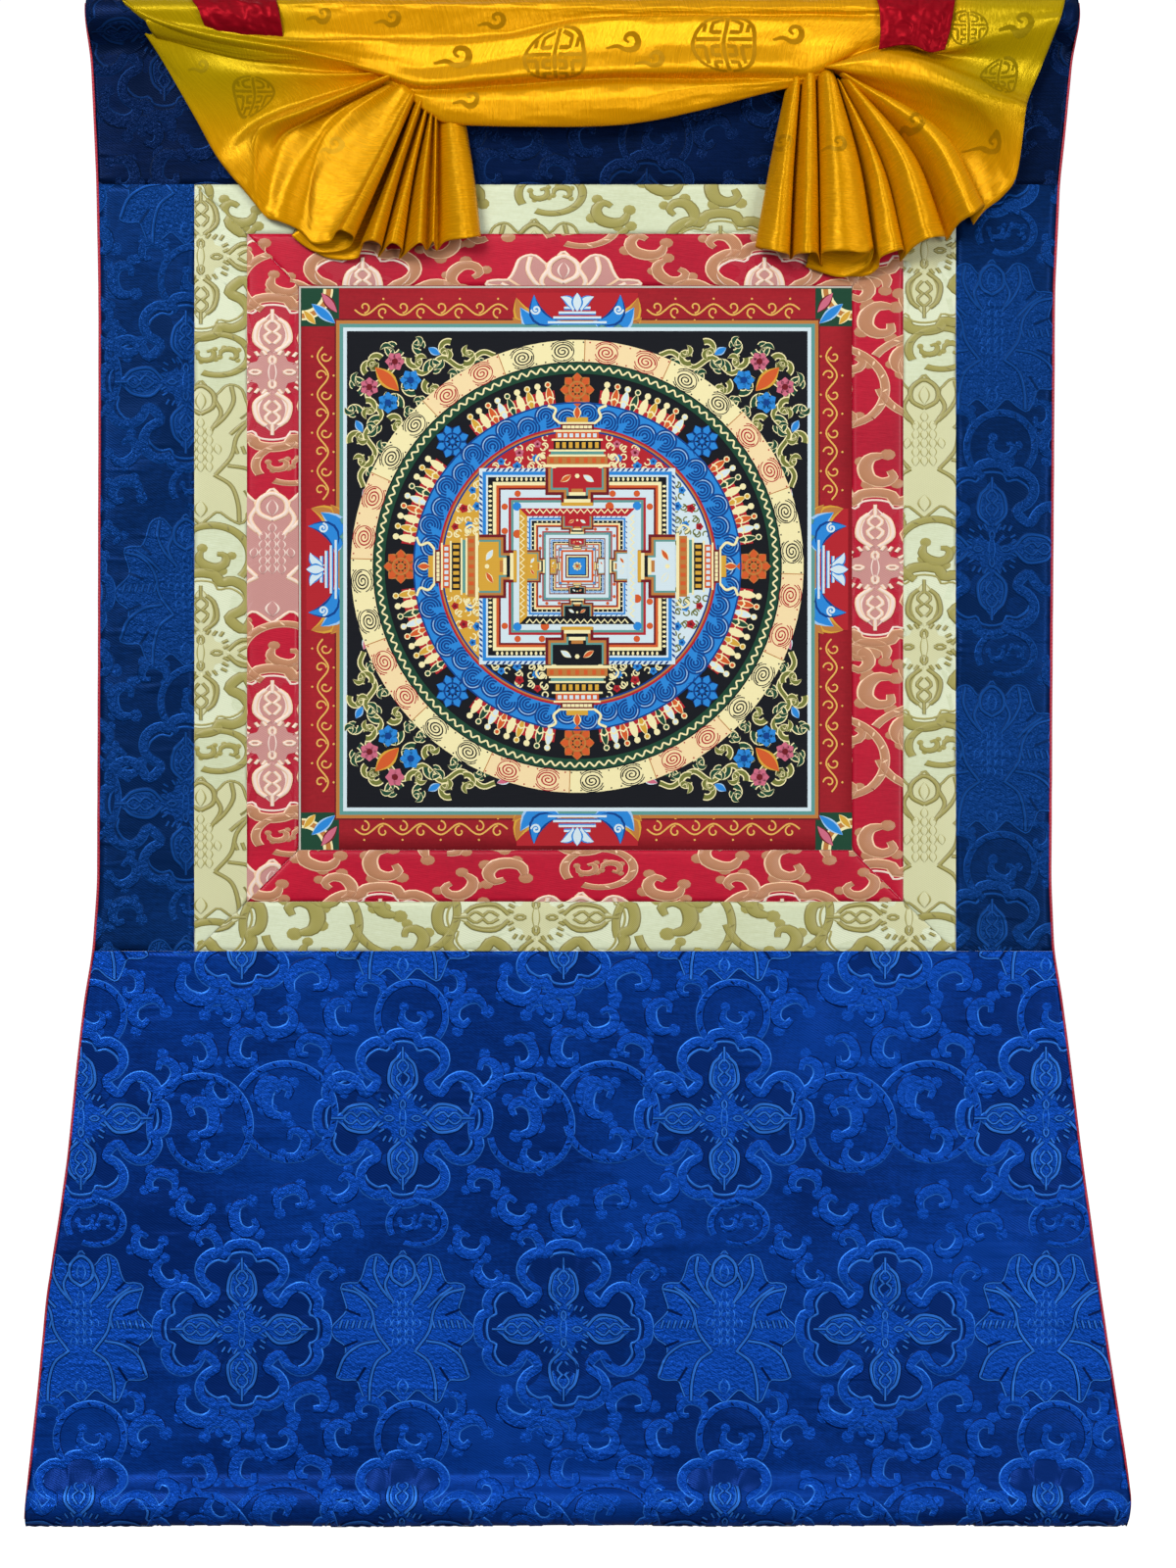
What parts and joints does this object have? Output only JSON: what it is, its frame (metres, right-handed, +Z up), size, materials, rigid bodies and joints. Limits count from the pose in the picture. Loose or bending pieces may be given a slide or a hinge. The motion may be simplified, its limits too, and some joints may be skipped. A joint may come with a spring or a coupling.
{
  "type": "thangka scroll painting",
  "caption": "Hanging cloth scroll with a square painted centre, brocade borders and panels, rolled ends, and a silk veil gathered up at the top under satin ribbons.",
  "frame": {"origin": "middle of the top edge, in the plane of the hung cloth", "axes": "+Z up along the height of the hanging, +X to the right as seen from the front, the painted front faces -Y and +Y points to the wall"},
  "size_m": [0.72, 0.0367, 0.9894],
  "materials": {
    "blue_brocade": "dark blue silk brocade with tone-on-tone cloud and lotus figures",
    "cream_brocade": "cream silk brocade with olive-gold figures",
    "red_brocade": "crimson silk brocade with brown-gold and silver-pink figures",
    "painted_cloth": "primed cotton painted with matt mineral colours and gold",
    "red_piping": "thin rolled red silk piping",
    "veil_silk": "shiny yellow silk damask",
    "ribbon_satin": "crumpled crimson satin"
  },
  "bodies": {
    "root": {"top_panel": "blue_brocade", "left_panel": "blue_brocade", "right_panel": "blue_brocade", "bottom_panel": "blue_brocade", "cream_border_top": "cream_brocade", "cream_border_bottom": "cream_brocade", "cream_border_left": "cream_brocade", "cream_border_right": "cream_brocade", "red_border_top": "red_brocade", "red_border_bottom": "red_brocade", "red_border_left": "red_brocade", "red_border_right": "red_brocade", "painting": "painted_cloth", "left_piping": "red_piping", "right_piping": "red_piping", "veil": "veil_silk", "left_ribbon": "ribbon_satin", "right_ribbon": "ribbon_satin"}
  },
  "joints": []
}
